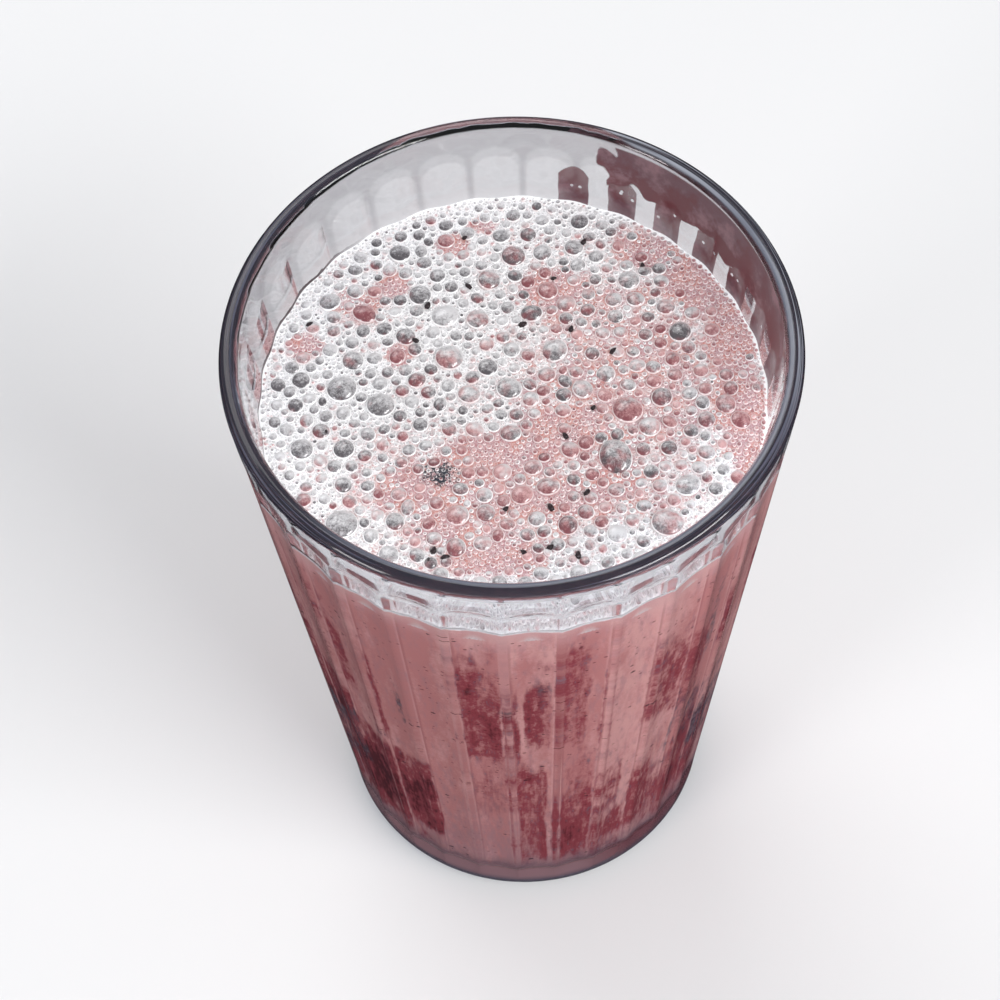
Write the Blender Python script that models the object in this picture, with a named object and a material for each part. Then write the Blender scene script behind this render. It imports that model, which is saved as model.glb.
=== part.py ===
"""A frothy berry smoothie in the fluted glass tumbler that holds it.

Three separate solids: the pressed glass, the drink up to the underside of the
froth, and the froth with its largest bubbles and the seeds that lie on it.
Units are metres, +Z is up, and the origin is the centre of the glass's foot.
"""

import math
import random

import bmesh
import bpy
from mathutils import Matrix

# Glass, from the foot up
HEIGHT = 0.1173
RIM_RADIUS = 0.0410
FOOT_RADIUS = 0.02965
FOOT_ROUNDING = 0.0022
FLOOR_THICKNESS = 0.0042
FLOOR_ROUNDING = 0.0045
LIP_THICKNESS = 0.0027
WALL_THICKNESS = 0.0033

# Flutes pressed into the outside of the glass
FLUTE_COUNT = 30
FLUTE_DEPTH = 0.00065
FIRST_RIDGE = math.radians(-94.0)
FLUTE_CREST = HEIGHT - 0.0055
FLUTE_SHOULDER = HEIGHT - 0.0095
FLUTE_FADE_HEIGHT = 0.0120
FLUTE_SHARE_AT_FOOT = 0.3
STEPS_PER_FLUTE = 4

# Drink and froth
CLEARANCE = 0.0003
FROTH_CONTACT = 0.1032
FROTH_THICKNESS = 0.0030
MENISCUS_HEIGHT = 0.0005
MENISCUS_WIDTH = 0.0016
DRINK_STEPS = 60
FROTH_STEPS = 90

# Bubbles that stand out of the froth: the biggest ones (x, y, radius), then a seeded spread
BIG_BUBBLES = (
    (0.0142, -0.0104, 0.0026),
    (-0.0246, -0.0198, 0.0024),
    (0.0209, -0.0215, 0.0023),
    (-0.0246, 0.0030, 0.0023),
    (0.0163, -0.0024, 0.0023),
    (-0.0090, 0.0077, 0.0022),
    (-0.0190, -0.0002, 0.0021),
    (-0.0095, 0.0152, 0.0021),
    (0.0063, 0.0083, 0.0020),
    (0.0008, 0.0256, 0.0019),
    (-0.0005, 0.0020, 0.0019),
    (0.0241, -0.0154, 0.0019),
    (-0.0047, 0.0143, 0.0018),
    (-0.0131, 0.0190, 0.0018),
    (-0.0063, 0.0012, 0.0018),
    (0.0246, 0.0108, 0.0018),
    (-0.0029, 0.0214, 0.0018),
    (-0.0303, -0.0072, 0.0018),
    (-0.0160, 0.0268, 0.0017),
    (-0.0213, 0.0160, 0.0017),
)
SPREAD_SEED = 31
SPREAD_COUNT = 104
SPREAD_LARGEST = 0.0017
SPREAD_SMALLEST = 0.0009
BUBBLE_SPACING = 1.06
BUBBLE_RISE = 0.45
WALL_MARGIN = 0.0012

# Seeds on the froth (x, y, turn in degrees)
SEED_LENGTH = 0.0013
SEED_WIDTH = 0.0008
SEED_RISE = 0.0004
SEEDS = (
    (0.0018, 0.0130, 20),
    (0.0088, 0.0120, 75),
    (0.0148, 0.0078, 40),
    (0.0066, 0.0211, 10),
    (0.0113, 0.0276, 55),
    (0.0198, 0.0230, 95),
    (-0.0060, 0.0202, 130),
    (-0.0063, 0.0291, 25),
    (-0.0120, 0.0171, 65),
    (-0.0139, 0.0109, 150),
    (-0.0293, 0.0144, 35),
    (-0.0269, -0.0044, 80),
    (-0.0125, -0.0263, 95),
    (-0.0118, -0.0247, 70),
    (-0.0102, -0.0259, 15),
    (-0.0016, -0.0183, 45),
    (0.0047, -0.0183, 110),
    (0.0099, -0.0162, 60),
    (0.0106, -0.0133, 5),
    (0.0007, -0.0255, 140),
    (0.0044, -0.0249, 30),
    (0.0082, -0.0263, 85),
    (0.0072, -0.0066, 120),
    (0.0114, -0.0019, 50),
)


def remove_everything():
    """Start from an empty scene."""
    for thing in list(bpy.data.objects):
        bpy.data.objects.remove(thing, do_unlink=True)


def finish(name, colour, roughness, transmission=0.0):
    """A plain Principled material for one sub-part."""
    made = bpy.data.materials.new(name)
    made.use_nodes = True
    shader = made.node_tree.nodes["Principled BSDF"]
    shader.inputs["Base Color"].default_value = (*colour, 1.0)
    shader.inputs["Roughness"].default_value = roughness
    shader.inputs["Metallic"].default_value = 0.0
    shader.inputs["Transmission Weight"].default_value = transmission
    return made


def outer_radius(height):
    """The outside of the glass at the ridges: one straight taper."""
    return FOOT_RADIUS + (RIM_RADIUS - FOOT_RADIUS) * height / HEIGHT


def inner_radius(height):
    """The inside: full wall below the froth line, thinning to the lip above it."""
    lip_bottom = HEIGHT - LIP_THICKNESS / 2
    share = max(0.0, (height - FROTH_CONTACT) / (lip_bottom - FROTH_CONTACT))
    wall = WALL_THICKNESS + (LIP_THICKNESS - WALL_THICKNESS) * min(share, 1.0)
    return outer_radius(height) - wall


def arc(centre, radius, start, end, steps):
    """Points (radius, height) along a round stretch of a profile, angles in degrees."""
    points = []
    for step in range(steps + 1):
        angle = math.radians(start + (end - start) * step / steps)
        across = centre[0] + radius * math.cos(angle)
        up = centre[1] + radius * math.sin(angle)
        points.append((across, up))
    return points


def wall_points(levels, radius_at, inset=0.0):
    """Profile points on a wall at the given heights."""
    return [(radius_at(level) - inset, level) for level in levels]


def turned(name, profile, steps):
    """A closed solid turned from a profile that starts and ends on the axis."""
    mesh = bpy.data.meshes.new(name)
    shape = bmesh.new()
    rail = [shape.verts.new((across, 0.0, up)) for across, up in profile]
    edges = [shape.edges.new(pair) for pair in zip(rail, rail[1:])]
    bmesh.ops.spin(
        shape,
        geom=rail + edges,
        cent=(0.0, 0.0, 0.0),
        axis=(0.0, 0.0, 1.0),
        angle=math.tau,
        steps=steps,
    )
    bmesh.ops.remove_doubles(shape, verts=shape.verts, dist=0.00001)
    bmesh.ops.recalc_face_normals(shape, faces=shape.faces)
    turn = Matrix.Rotation(FIRST_RIDGE, 4, "Z")
    bmesh.ops.transform(shape, matrix=turn, verts=shape.verts)
    shape.to_mesh(mesh)
    shape.free()
    made = bpy.data.objects.new(name, mesh)
    bpy.context.scene.collection.objects.link(made)
    return made


def shade_round(made, sharp_angle):
    """Smooth shading, with edges over the angle left sharp."""
    made.data.shade_smooth()
    made.data.set_sharp_from_angle(angle=math.radians(sharp_angle))


def flute_cut(angle, height):
    """How far a flute is pressed in here: a scoop with a round top, shallow at the foot."""
    turns = (angle - FIRST_RIDGE) / math.tau * FLUTE_COUNT
    across = 2.0 * (turns - math.floor(turns)) - 1.0
    above = (height - FLUTE_SHOULDER) / (FLUTE_CREST - FLUTE_SHOULDER)
    end = max(above, 0.0)
    rise = min(height / FLUTE_FADE_HEIGHT, 1.0)
    depth = FLUTE_DEPTH * (FLUTE_SHARE_AT_FOOT + (1.0 - FLUTE_SHARE_AT_FOOT) * rise)
    return depth * max(0.0, 1.0 - across * across - end * end)


def glass_profile():
    """The tumbler's section: foot, outer wall, rounded lip, inner wall, floor."""
    foot_centre = (outer_radius(FOOT_ROUNDING) - FOOT_ROUNDING, FOOT_ROUNDING)
    foot = arc(foot_centre, FOOT_ROUNDING, -90, 0, 3)
    arch = FLUTE_CREST - FLUTE_SHOULDER
    levels = [FLUTE_FADE_HEIGHT, 0.040, 0.075, FLUTE_SHOULDER]
    levels += [FLUTE_SHOULDER + arch * share for share in (0.5, 0.866, 1.0)]
    lip_radius = LIP_THICKNESS / 2
    lip_height = HEIGHT - lip_radius
    lip = arc((outer_radius(lip_height) - lip_radius, lip_height), lip_radius, 0, 180, 6)
    inside = wall_points([FROTH_CONTACT, 0.070, 0.040], inner_radius)
    corner = FLOOR_THICKNESS + FLOOR_ROUNDING
    floor_centre = (inner_radius(corner) - FLOOR_ROUNDING, corner)
    floor = arc(floor_centre, FLOOR_ROUNDING, 0, -90, 3)
    ends = [(0.0, 0.0)], [(0.0, FLOOR_THICKNESS)]
    return ends[0] + foot + wall_points(levels, outer_radius) + lip + inside + floor + ends[1]


def make_glass():
    """Turn the tumbler, then press the flutes into its outside."""
    glass = turned("glass", glass_profile(), FLUTE_COUNT * STEPS_PER_FLUTE)
    for point in glass.data.vertices:
        across, along, height = point.co
        radius = math.hypot(across, along)
        middle = outer_radius(height) - WALL_THICKNESS / 2
        if radius > middle:
            cut = flute_cut(math.atan2(along, across), height)
            point.co.x *= (radius - cut) / radius
            point.co.y *= (radius - cut) / radius
    shade_round(glass, 25)
    glass.data.materials.append(finish("clear glass", (0.78, 0.80, 0.84), 0.03, 1.0))
    return glass


def froth_underside():
    """Height where the froth ends and the drink begins."""
    return FROTH_CONTACT - MENISCUS_HEIGHT - FROTH_THICKNESS


def make_drink():
    """The smoothie: it fills the glass from its rounded floor to the froth."""
    bottom = FLOOR_THICKNESS + CLEARANCE
    corner = bottom + FLOOR_ROUNDING
    centre = (inner_radius(corner) - CLEARANCE - FLOOR_ROUNDING, corner)
    top = froth_underside() - CLEARANCE
    walls = wall_points([0.040, 0.070, top], inner_radius, CLEARANCE)
    profile = [(0.0, bottom)] + arc(centre, FLOOR_ROUNDING, -90, 0, 3) + walls + [(0.0, top)]
    drink = turned("smoothie", profile, DRINK_STEPS)
    shade_round(drink, 30)
    drink.data.materials.append(finish("berry smoothie", (0.42, 0.17, 0.18), 0.5))
    return drink


def spread_bubbles():
    """The named bubbles, then smaller ones dropped where there is room for them."""
    draw = random.Random(SPREAD_SEED)
    placed = list(BIG_BUBBLES)
    reach = inner_radius(FROTH_CONTACT) - CLEARANCE - WALL_MARGIN
    for index in range(SPREAD_COUNT):
        share = index / (SPREAD_COUNT - 1)
        radius = SPREAD_LARGEST + (SPREAD_SMALLEST - SPREAD_LARGEST) * share
        for attempt in range(400):
            out = (reach - radius) * math.sqrt(draw.random())
            angle = math.tau * draw.random()
            x, y = out * math.cos(angle), out * math.sin(angle)
            gaps = [math.hypot(x - a, y - b) / (radius + c) for a, b, c in placed]
            if min(gaps) > BUBBLE_SPACING:
                placed.append((x, y, radius))
                break
    return placed


def blob(name, place, half_sizes, turn, segments, rings):
    """A squashed sphere, half sunk, ready to be fused to the froth."""
    mesh = bpy.data.meshes.new(name)
    shape = bmesh.new()
    bmesh.ops.create_uvsphere(shape, u_segments=segments, v_segments=rings, radius=1.0)
    size = Matrix.Diagonal((*half_sizes, 1.0))
    move = Matrix.Translation(place) @ Matrix.Rotation(turn, 4, "Z") @ size
    bmesh.ops.transform(shape, matrix=move, verts=shape.verts)
    shape.to_mesh(mesh)
    shape.free()
    return bpy.data.objects.new(name, mesh)


def make_froth():
    """A disc of froth that climbs a little at the glass, with bubbles and seeds fused on."""
    level = FROTH_CONTACT - MENISCUS_HEIGHT
    bottom = froth_underside()
    edge = inner_radius(FROTH_CONTACT) - CLEARANCE
    profile = [
        (0.0, bottom),
        (inner_radius(bottom) - CLEARANCE, bottom),
        (edge, FROTH_CONTACT),
        (edge - MENISCUS_WIDTH / 3, level + MENISCUS_HEIGHT / 3),
        (edge - MENISCUS_WIDTH, level),
        (0.0, level),
    ]
    froth = turned("froth", profile, FROTH_STEPS)
    toppings = bpy.data.collections.new("toppings")
    bpy.context.scene.collection.children.link(toppings)
    for index, (x, y, radius) in enumerate(spread_bubbles()):
        sides = 12 if radius > SPREAD_LARGEST else 8
        rings = 6 if radius > SPREAD_LARGEST else 4
        half = (radius, radius, radius * BUBBLE_RISE)
        turn = math.radians(37.0 * index)
        toppings.objects.link(blob(f"bubble_{index}", (x, y, level), half, turn, sides, rings))
    for index, (x, y, degrees) in enumerate(SEEDS):
        half = (SEED_LENGTH / 2, SEED_WIDTH / 2, SEED_RISE)
        turn = math.radians(degrees)
        rise = level + SEED_RISE / 2
        toppings.objects.link(blob(f"seed_{index}", (x, y, rise), half, turn, 6, 4))
    fuse(froth, toppings)
    shade_round(froth, 40)
    froth.data.materials.append(finish("milky froth", (0.80, 0.72, 0.72), 0.45))
    return froth


def fuse(body, collection):
    """Join the collection's pieces to the body by one union, then drop the pieces."""
    union = body.modifiers.new("union", "BOOLEAN")
    union.operation = "UNION"
    union.operand_type = "COLLECTION"
    union.collection = collection
    union.solver = "EXACT"
    bpy.context.view_layer.update()
    view = body.evaluated_get(bpy.context.evaluated_depsgraph_get())
    joined = bpy.data.meshes.new_from_object(view)
    body.modifiers.clear()
    body.data = joined
    for piece in list(collection.objects):
        bpy.data.objects.remove(piece, do_unlink=True)
    bpy.data.collections.remove(collection)


remove_everything()
make_glass()
make_drink()
make_froth()
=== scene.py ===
# %% [markdown]
# # A frothy berry smoothie in a fluted tumbler
#
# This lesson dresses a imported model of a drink: a pressed glass, the smoothie in it and the
# froth on top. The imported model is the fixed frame. It gives every size, and it carries the
# collision, so each piece made here stands where one of its nodes stands and replaces it.

# %% Load the frame
import math
import random
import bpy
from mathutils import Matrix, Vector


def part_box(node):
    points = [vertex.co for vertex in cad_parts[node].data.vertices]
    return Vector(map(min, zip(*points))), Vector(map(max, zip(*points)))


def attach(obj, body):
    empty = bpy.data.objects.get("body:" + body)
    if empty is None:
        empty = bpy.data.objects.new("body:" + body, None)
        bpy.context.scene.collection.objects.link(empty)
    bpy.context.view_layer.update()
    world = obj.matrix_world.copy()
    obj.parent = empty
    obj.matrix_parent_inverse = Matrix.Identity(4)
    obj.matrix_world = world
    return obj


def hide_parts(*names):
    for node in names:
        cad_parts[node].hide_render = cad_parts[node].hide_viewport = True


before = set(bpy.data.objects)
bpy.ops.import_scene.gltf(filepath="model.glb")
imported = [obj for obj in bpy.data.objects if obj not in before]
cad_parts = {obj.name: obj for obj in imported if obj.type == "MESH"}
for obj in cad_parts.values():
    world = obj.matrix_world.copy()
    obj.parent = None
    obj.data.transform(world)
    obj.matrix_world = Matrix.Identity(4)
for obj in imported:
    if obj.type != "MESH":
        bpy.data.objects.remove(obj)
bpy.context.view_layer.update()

from types import SimpleNamespace

import bpy
import numpy as np
from mathutils import Matrix, Vector

glass_low, glass_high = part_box("glass")
froth_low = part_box("froth")[0]
print("glass is", round((glass_high.z - glass_low.z) * 1000, 1), "mm high")

# %% [markdown]
# ## Sizes
#
# A drinks glass is a body of revolution, so a few radii and heights describe it. The height
# comes from the frame, and the rest repeats the sizes that the solids were built from.

# %% Sizes of the glass, the drink and the froth
MM = 0.001
HEIGHT = glass_high.z
RIM_RADIUS = 41.0 * MM
FOOT_RADIUS = 29.65 * MM
FOOT_ROUNDING = 2.2 * MM
FLOOR_THICKNESS = 4.2 * MM
FLOOR_ROUNDING = 4.5 * MM
LIP_THICKNESS = 2.7 * MM
WALL_THICKNESS = 3.3 * MM
FLUTE_COUNT = 30
FLUTE_DEPTH = 0.65 * MM
FIRST_RIDGE = math.radians(-94.0)
FLUTE_CREST = HEIGHT - 5.3 * MM
FLUTE_SHOULDER = HEIGHT - 8.5 * MM
FLUTE_FADE_HEIGHT = 12.0 * MM
FLUTE_FADE_FROM = 2.6 * MM
FROTH_CONTACT = 103.2 * MM
FROTH_LEVEL = 102.7 * MM
FROTH_BOTTOM = froth_low.z
INTO_WALL = 0.08 * MM
INTO_FROTH = 0.2 * MM
WALL_TAPER = (RIM_RADIUS - FOOT_RADIUS) / HEIGHT
MID_WALL_AT_FOOT = FOOT_RADIUS - WALL_THICKNESS / 2


def outer_radius(height):
    """Outside of the glass at the ridges."""
    return FOOT_RADIUS + (RIM_RADIUS - FOOT_RADIUS) * height / HEIGHT


def inner_radius(height):
    """Inside of the glass: the wall thins from the froth line up to the lip."""
    lip_bottom = HEIGHT - LIP_THICKNESS / 2
    share = min(max((height - FROTH_CONTACT) / (lip_bottom - FROTH_CONTACT), 0.0), 1.0)
    return outer_radius(height) - WALL_THICKNESS - (LIP_THICKNESS - WALL_THICKNESS) * share


FROTH_RADIUS = inner_radius(FROTH_CONTACT)
print("froth is", round(FROTH_RADIUS * 2000, 1), "mm across")

# %% [markdown]
# ## The camera
#
# The photo looks down into the glass at a steep angle through a long lens. The stand-off,
# the height and three turns were found by fitting circles to the rim, the froth line and
# the foot, so the glass here falls on the same part of the picture.

# %% Camera at the photo's viewing angle
CAMERA_BACK = 227.4 * MM
CAMERA_HEIGHT = 443.0 * MM
CAMERA_PITCH = math.radians(58.24)
CAMERA_YAW = 0.01123
CAMERA_ROLL = -0.04618
CAMERA_LENS = 102.7

camera_data = bpy.data.cameras.new("camera")
camera_data.lens = CAMERA_LENS
camera_data.sensor_width = 36.0
camera = bpy.data.objects.new("camera", camera_data)
bpy.context.scene.collection.objects.link(camera)
camera.matrix_world = (
    Matrix.Translation((0.0, -CAMERA_BACK, CAMERA_HEIGHT))
    @ Matrix.Rotation(CAMERA_YAW, 4, "Z")
    @ Matrix.Rotation(math.pi / 2 - CAMERA_PITCH, 4, "X")
    @ Matrix.Rotation(CAMERA_ROLL, 4, "Z")
)
bpy.context.scene.camera = camera
print("camera stands", round(camera.location.length * 1000), "mm from the foot")

# %% [markdown]
# ## Writing node trees as sums
#
# Materials and Geometry Nodes are both trees of nodes. Drawing them by hand is slow to read
# in a script, so a small class wraps a socket and lets ordinary operators add Math nodes.
# One method makes every other kind of node from its type, settings and inputs.


# %% A socket that can be used in a sum
class Wire:
    """One output socket of a tree."""

    def __init__(self, tree, socket):
        self.tree = tree
        self.socket = socket

    def math(self, operation, *others):
        return self.tree.node("ShaderNodeMath", {"operation": operation}, self, *others)

    def flipped(self, operation, other):
        return self.tree.node("ShaderNodeMath", {"operation": operation}, other, self)

    def __add__(self, other):
        return self.math("ADD", other)

    def __sub__(self, other):
        return self.math("SUBTRACT", other)

    def __mul__(self, other):
        return self.math("MULTIPLY", other)

    def __truediv__(self, other):
        return self.math("DIVIDE", other)

    def __pow__(self, other):
        return self.math("POWER", other)

    def __rsub__(self, other):
        return self.flipped("SUBTRACT", other)

    def __rtruediv__(self, other):
        return self.flipped("DIVIDE", other)

    __radd__ = __add__
    __rmul__ = __mul__

    def out(self, name):
        """Another output of the same node."""
        return Wire(self.tree, self.socket.node.outputs[name])


# %% A tree that makes its nodes
class Tree:
    """A shader or geometry node tree, written from a script."""

    def __init__(self, tree):
        self.tree = tree

    def node(self, kind, settings=None, *numbered, **named):
        """Add a node, set it, feed its inputs by number or by name, return its first output."""
        made = self.tree.nodes.new(kind)
        for name, value in (settings or {}).items():
            setattr(made, name, value)
        for key, value in list(enumerate(numbered)) + list(named.items()):
            socket = made.inputs[key if isinstance(key, int) else key.replace("_", " ")]
            if isinstance(value, Wire):
                self.tree.links.new(value.socket, socket)
            elif value is not None:
                socket.default_value = value
        return Wire(self, made.outputs[0]) if made.outputs else made

    def step(self, value, low, high, first=0.0, last=1.0):
        """A soft step from first to last while value goes from low to high."""
        smooth = {"interpolation_type": "SMOOTHSTEP"}
        return self.node("ShaderNodeMapRange", smooth, value, low, high, first, last)

    def mix(self, share, first, last):
        """A colour between two colours, which a Mix node takes at sockets 6 and 7."""
        made = self.node("ShaderNodeMix", {"data_type": "RGBA"}, share).socket.node
        for socket, value in ((made.inputs[6], first), (made.inputs[7], last)):
            if isinstance(value, Wire):
                self.tree.links.new(value.socket, socket)
            else:
                socket.default_value = (*value, 1.0)
        return Wire(self, made.outputs[2])

    def spots(self, place, scale, feature="F1"):
        """Distance to the nearest of many scattered points, or to the edge of its cell."""
        return self.node("ShaderNodeTexVoronoi", {"feature": feature}, Vector=place, Scale=scale)

    def clouds(self, place, scale, detail=2.0, roughness=0.5):
        """Soft noise from 0 to 1."""
        kind = "ShaderNodeTexNoise"
        return self.node(kind, None, Vector=place, Scale=scale, Detail=detail, Roughness=roughness)


# %% A material with a Principled shader
class Finish(Tree):
    """A material: fixed values go straight on the shader, varying ones are linked."""

    def __init__(self, name, **fixed):
        self.material = bpy.data.materials.new(name)
        self.material.use_nodes = True
        super().__init__(self.material.node_tree)
        self.shader = self.tree.nodes["Principled BSDF"]
        self.place = self.node("ShaderNodeTexCoord").out("Object")
        for key, value in fixed.items():
            self.shader.inputs[key.replace("_", " ")].default_value = value

    def feed(self, **inputs):
        """Link what changes over the surface."""
        for key, wire in inputs.items():
            self.tree.links.new(wire.socket, self.shader.inputs[key.replace("_", " ")])

    def bump(self, height, strength, distance):
        """Tilt the surface by a height pattern."""
        bumped = self.node("ShaderNodeBump", None, Strength=strength, Distance=distance, Height=height)
        self.feed(Normal=bumped)

    def attribute(self, name):
        """A number stored on the mesh's points."""
        return self.node("ShaderNodeAttribute", {"attribute_name": name}).out("Fac")


print("tree helpers ready")

# %% [markdown]
# ## Turned shapes
#
# The glass, the drink and the bed of froth are all turned on the same axis. A profile of
# (radius, height) points is spun into rings of vertices that are joined by faces. A profile
# that starts and ends on the axis gives one closed shell, so no seam or pole is left open.


# %% Turn a profile into a closed mesh
SHARP_FROM = math.radians(55.0)


def arc(centre, radius, start, end, steps):
    """Points along a round stretch of a profile, angles in degrees."""
    angles = np.radians(np.linspace(start, end, steps + 1))
    return [(centre[0] + radius * math.cos(a), centre[1] + radius * math.sin(a)) for a in angles]


def link(name, data):
    """Put a mesh or a lamp into the scene as an object at the origin."""
    made = bpy.data.objects.new(name, data)
    bpy.context.scene.collection.objects.link(made)
    return made


def ring_faces(rings, sides):
    """Quads between neighbouring rings of vertices."""
    ring, side = np.meshgrid(np.arange(rings - 1), np.arange(sides), indexing="ij")
    here = ring * sides + side
    beside = ring * sides + (side + 1) % sides
    return np.stack([here, beside, beside + sides, here + sides], -1).reshape(-1, 4).tolist()


def turned(name, profile, sides):
    """A shell of revolution; profile runs from the bottom centre round the outside."""
    inner = profile[1:-1]
    angles = FIRST_RIDGE + np.arange(sides) / sides * math.tau
    radii = np.array([point[0] for point in inner])[:, None]
    heights = np.array([point[1] for point in inner])[:, None]
    grid = np.stack([radii * np.cos(angles), radii * np.sin(angles), heights + 0 * angles], -1)
    points = grid.reshape(-1, 3).tolist()
    faces = ring_faces(len(inner), sides)
    start, end = len(points), len(points) + 1
    points += [(0.0, 0.0, profile[0][1]), (0.0, 0.0, profile[-1][1])]
    last = (len(inner) - 1) * sides
    for side in range(sides):
        beside = (side + 1) % sides
        faces.append((start, beside, side))
        faces.append((end, last + side, last + beside))
    mesh = bpy.data.meshes.new(name)
    mesh.from_pydata(points, [], faces)
    mesh.update()
    mesh.shade_smooth()
    mesh.set_sharp_from_angle(angle=SHARP_FROM)
    return link(name, mesh)


def wall_points(low, high, steps, radius_at, inset=0.0):
    """Profile points on a wall, evenly spaced in height."""
    return [(radius_at(level) - inset, level) for level in np.linspace(low, high, steps + 1)]


# %% [markdown]
# ## The fluted glass
#
# Pressed tumblers like this one have thirty shallow hollows, each ending in a small arch
# under the smooth rim band and fading out just above the foot. They meet in ridges, and
# the mould leaves a faint echo of them on the inner wall. All of it follows one rule, so a
# Geometry Nodes tree works out the angle and height of each point and presses it inwards.

# %% Geometry Nodes that press the flutes
SIDES_PER_FLUTE = 16
RIPPLE = 0.0042
RIPPLE_FULL_TO = HEIGHT - 9.0 * MM
RIPPLE_GONE_AT = HEIGHT - 2.0 * MM
CLEAR_OF_AXIS = 1.0 * MM


def group_tree(name, inputs):
    """A Geometry Nodes tree with named number inputs."""
    group = bpy.data.node_groups.new(name, "GeometryNodeTree")
    group.interface.new_socket("Geometry", in_out="INPUT", socket_type="NodeSocketGeometry")
    for label in inputs:
        group.interface.new_socket(label, in_out="INPUT", socket_type="NodeSocketFloat")
    group.interface.new_socket("Geometry", in_out="OUTPUT", socket_type="NodeSocketGeometry")
    return Tree(group)


def flute_tree():
    """Press hollows into the outside and a faint ripple into the inside."""
    labels = ("Flutes", "First ridge", "Depth", "Shoulder", "Crest", "Fade height")
    tree = group_tree("press flutes", labels + ("Fade from", "Ripple", "Skin radius", "Skin taper"))
    given = tree.node("NodeGroupInput")
    place = tree.node("GeometryNodeInputPosition")
    axes = tree.node("ShaderNodeSeparateXYZ", None, place)
    x, y, z = axes, axes.out("Y"), axes.out("Z")
    radius = (x * x + y * y).math("SQRT")
    turns = (y.math("ARCTAN2", x) - given.out("First ridge")) / math.tau * given.out("Flutes")
    across = turns.math("FRACT") * 2.0 - 1.0
    span = given.out("Crest") - given.out("Shoulder")
    end = ((z - given.out("Shoulder")) / span).math("MAXIMUM", 0.0)
    fade_span = given.out("Fade height") - given.out("Fade from")
    share = ((z - given.out("Fade from")) / fade_span).math("MAXIMUM", 0.0).math("MINIMUM", 1.0)
    scoop = (1.0 - across * across - end * end).math("MAXIMUM", 0.0) * share
    skin = given.out("Skin radius") + given.out("Skin taper") * z
    outside = radius.math("GREATER_THAN", skin)
    cut = scoop * given.out("Depth") / radius.math("MAXIMUM", CLEAR_OF_AXIS)
    fade = tree.step(z, RIPPLE_FULL_TO, RIPPLE_GONE_AT, 1.0, 0.0)
    ripple = (across * math.pi).math("COSINE") * given.out("Ripple") * fade
    shrink = 1.0 - outside * cut - (1.0 - outside) * ripple
    moved = tree.node("ShaderNodeCombineXYZ", None, x * shrink, y * shrink, z)
    shaped = tree.node("GeometryNodeSetPosition", None, given.out("Geometry"), Position=moved)
    tree.node("NodeGroupOutput", None, shaped)
    return tree.tree


def set_inputs(modifier, values):
    """Give a Geometry Nodes modifier its values by socket identifier."""
    for item in modifier.node_group.interface.items_tree:
        if item.in_out == "INPUT" and item.name in values:
            modifier[item.identifier] = values[item.name]


def made_plain(piece):
    """Swap the piece's mesh for what its modifiers make, and drop the modifiers."""
    bpy.context.view_layer.update()
    view = piece.evaluated_get(bpy.context.evaluated_depsgraph_get())
    mesh = bpy.data.meshes.new_from_object(view, depsgraph=bpy.context.evaluated_depsgraph_get())
    mesh.name = piece.name
    piece.modifiers.clear()
    piece.data = mesh
    return piece


press_flutes = flute_tree()
FLUTE_VALUES = {
    "Flutes": float(FLUTE_COUNT),
    "First ridge": FIRST_RIDGE,
    "Depth": FLUTE_DEPTH,
    "Shoulder": FLUTE_SHOULDER,
    "Crest": FLUTE_CREST,
    "Fade height": FLUTE_FADE_HEIGHT,
    "Fade from": FLUTE_FADE_FROM,
    "Ripple": RIPPLE,
    "Skin radius": MID_WALL_AT_FOOT,
    "Skin taper": WALL_TAPER,
}


def press(piece):
    """Run the flute tree on a turned piece and keep the result as a plain mesh."""
    modifier = piece.modifiers.new("flutes", "NODES")
    modifier.node_group = press_flutes
    set_inputs(modifier, FLUTE_VALUES)
    return made_plain(piece)


print("flute tree has", len(press_flutes.nodes), "nodes")


# %% Turn the tumbler and press it
WALL_SIDES = FLUTE_COUNT * SIDES_PER_FLUTE
FLOOR_RING = FOOT_RADIUS * 0.4
CORNER_STEPS = 8
ABOVE_CORNER = 1.0 * MM


def glass_profile():
    """Foot, outer wall, rounded lip, inner wall, floor."""
    foot_centre = (outer_radius(FOOT_ROUNDING) - FOOT_ROUNDING, FOOT_ROUNDING)
    lip_radius = LIP_THICKNESS / 2
    lip_height = HEIGHT - lip_radius
    lip_centre = (outer_radius(lip_height) - lip_radius, lip_height)
    corner = FLOOR_THICKNESS + FLOOR_ROUNDING
    floor_centre = (inner_radius(corner) - FLOOR_ROUNDING, corner)
    profile = [(0.0, 0.0), (FOOT_RADIUS * 0.6, 0.0)]
    profile += arc(foot_centre, FOOT_ROUNDING, -90, 0, 6)
    profile += wall_points(FLUTE_FADE_HEIGHT, FLUTE_SHOULDER - 2 * MM, 12, outer_radius)
    profile += wall_points(FLUTE_SHOULDER, FLUTE_CREST, 14, outer_radius)
    profile += wall_points(FLUTE_CREST + 0.4 * MM, lip_height - 0.6 * MM, 4, outer_radius)
    profile += arc(lip_centre, lip_radius, 0, 180, 14)
    profile += wall_points(HEIGHT - 3.0 * MM, corner + ABOVE_CORNER, 26, inner_radius)
    profile += arc(floor_centre, FLOOR_ROUNDING, 0, -90, CORNER_STEPS)
    profile += [(FLOOR_RING, FLOOR_THICKNESS), (0.0, FLOOR_THICKNESS)]
    return profile


glass = press(turned("glass_tumbler", glass_profile(), WALL_SIDES))
print("glass has", len(glass.data.polygons), "faces")

# %% [markdown]
# ## The smoothie
#
# The drink fills the glass, so its skin has to touch the wall all the way round. A gap of
# even a tenth of a millimetre would show as a mirror-like layer of air. It is turned a
# little too large and reaches just into the wall, and the same ripple is pressed into it.

# %% Turn the drink
DRINK_RINGS = 60


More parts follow.
